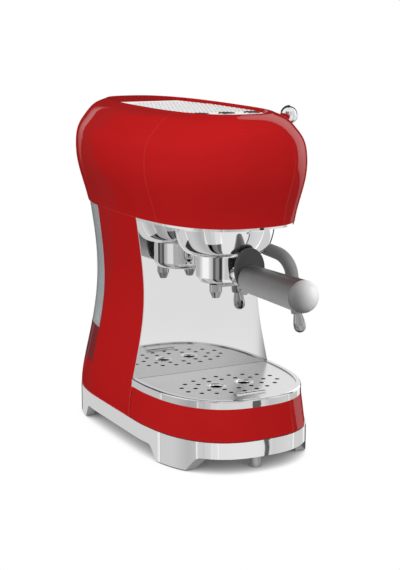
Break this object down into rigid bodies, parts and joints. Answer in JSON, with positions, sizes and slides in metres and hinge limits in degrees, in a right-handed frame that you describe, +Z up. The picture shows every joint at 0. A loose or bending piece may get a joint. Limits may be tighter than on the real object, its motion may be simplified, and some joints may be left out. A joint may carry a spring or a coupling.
{
  "type": "espresso machine",
  "caption": "Red retro pump espresso machine with chrome group, portafilter, steam wand, lever, drip tray, push buttons and a rear water tank",
  "frame": {"origin": "on the table, at the middle of the sole of the post foot under the front of the base", "axes": "+Z up, front facing -Y, +X to the right seen from the front"},
  "size_m": [0.1877, 0.3988, 0.3303],
  "materials": {
    "red_enamel": "glossy red lacquer",
    "chrome": "polished",
    "steel": "satin",
    "mirror_steel": "mirror polished",
    "silver_cast": "silver lacquer",
    "dark_plastic": "satin dark grey",
    "grey_plastic": "satin grey",
    "smoke_tank": "smoky translucent",
    "red_tank": "dark red translucent",
    "rubber": "matt",
    "brass": "bare",
    "cast_metal": "cast",
    "board": "circuit board",
    "inner_plastic": "moulded"
  },
  "bodies": {
    "machine": {"base_frame": "silver_cast", "foot_pads": "rubber", "post_foot": "chrome", "bottom_cover": "inner_plastic", "bottom_screws": "steel", "column_shell": "red_enamel", "splash_plate": "mirror_steel", "rear_wall": "inner_plastic", "tank_seat": "red_tank", "tank_grommet": "rubber", "head_rear_shell": "red_enamel", "head_front_shell": "red_enamel", "head_underside_plate": "mirror_steel", "cup_warmer_plate": "steel", "control_board": "board", "group_collar": "chrome", "group_head": "brass", "group_gasket": "rubber", "shower_screen": "steel", "shower_screw": "steel", "boiler": "cast_metal", "boiler_bolts": "steel", "heating_element": "steel", "thermostat": "inner_plastic", "solenoid_valve": "cast_metal", "steam_valve": "cast_metal", "steam_pipe": "steel", "wand_socket": "chrome", "pump": "cast_metal", "pump_mounts": "rubber", "suction_hose": "rubber", "pressure_pipe": "steel", "switch_housing": "dark_plastic", "cord_gland": "dark_plastic"},
    "portafilter": {"portafilter_cup": "chrome", "filter_basket": "steel", "basket_clip": "steel", "spout_block": "chrome", "handle_guard": "dark_plastic", "handle_grip": "dark_plastic", "handle_cap": "grey_plastic", "handle_bolt": "steel"},
    "steam_lever_body": {"steam_spindle": "steel", "steam_lever": "chrome", "lever_ball": "chrome"},
    "steam_wand": {"wand_tube": "steel", "wand_sleeve": "dark_plastic", "steam_nozzle": "chrome"},
    "one_cup_button": {"button_one_cup": "steel"},
    "two_cup_button": {"button_two_cups": "steel"},
    "steam_button": {"button_steam": "steel"},
    "drip_tray": {"tray_front": "red_enamel", "tray_basin": "inner_plastic", "tray_rim": "chrome"},
    "tray_grid": {"drip_grid": "steel"},
    "tank": {"water_tank": "smoke_tank", "tank_valve": "inner_plastic"},
    "mains_rocker": {"power_rocker": "dark_plastic"}
  },
  "joints": [
    {"name": "portafilter_turn", "type": "hinge", "parent": "machine", "child": "portafilter", "pos_m": [0, 0.0615, 0.18], "axis": [0, 0, 1], "range_deg": [-45, 0]},
    {"name": "steam_lever_turn", "type": "hinge", "parent": "machine", "child": "steam_lever_body", "pos_m": [0.08, 0.102, 0.285], "axis": [1, 0, 0], "range_deg": [0, 90]},
    {"name": "wand_swivel", "type": "hinge", "parent": "machine", "child": "steam_wand", "pos_m": [0.052, 0.08799, 0.21], "axis": [0, 0, 1], "range_deg": [-15, 45]},
    {"name": "one_cup_press", "type": "slide", "parent": "machine", "child": "one_cup_button", "axis": [0, 0.0192, -0.9998], "range_m": [0, 0.0012], "stiffness_N_per_m": 600},
    {"name": "two_cup_press", "type": "slide", "parent": "machine", "child": "two_cup_button", "axis": [0, 0.0192, -0.9998], "range_m": [0, 0.0012], "stiffness_N_per_m": 600},
    {"name": "steam_press", "type": "slide", "parent": "machine", "child": "steam_button", "axis": [0, 0.0192, -0.9998], "range_m": [0, 0.0012], "stiffness_N_per_m": 600},
    {"name": "drip_tray_slide", "type": "slide", "parent": "machine", "child": "drip_tray", "axis": [0, -1, 0], "range_m": [0, 0.13]},
    {"name": "grid_lift", "type": "slide", "parent": "drip_tray", "child": "tray_grid", "axis": [0, 0, 1], "range_m": [0, 0.06]},
    {"name": "tank_slide", "type": "slide", "parent": "machine", "child": "tank", "axis": [0, 1, 0], "range_m": [0, 0.1]},
    {"name": "rocker_tilt", "type": "hinge", "parent": "machine", "child": "mains_rocker", "pos_m": [-0.022, 0.2854, 0.0455], "axis": [1, 0, 0], "range_deg": [0, 20]}
  ]
}
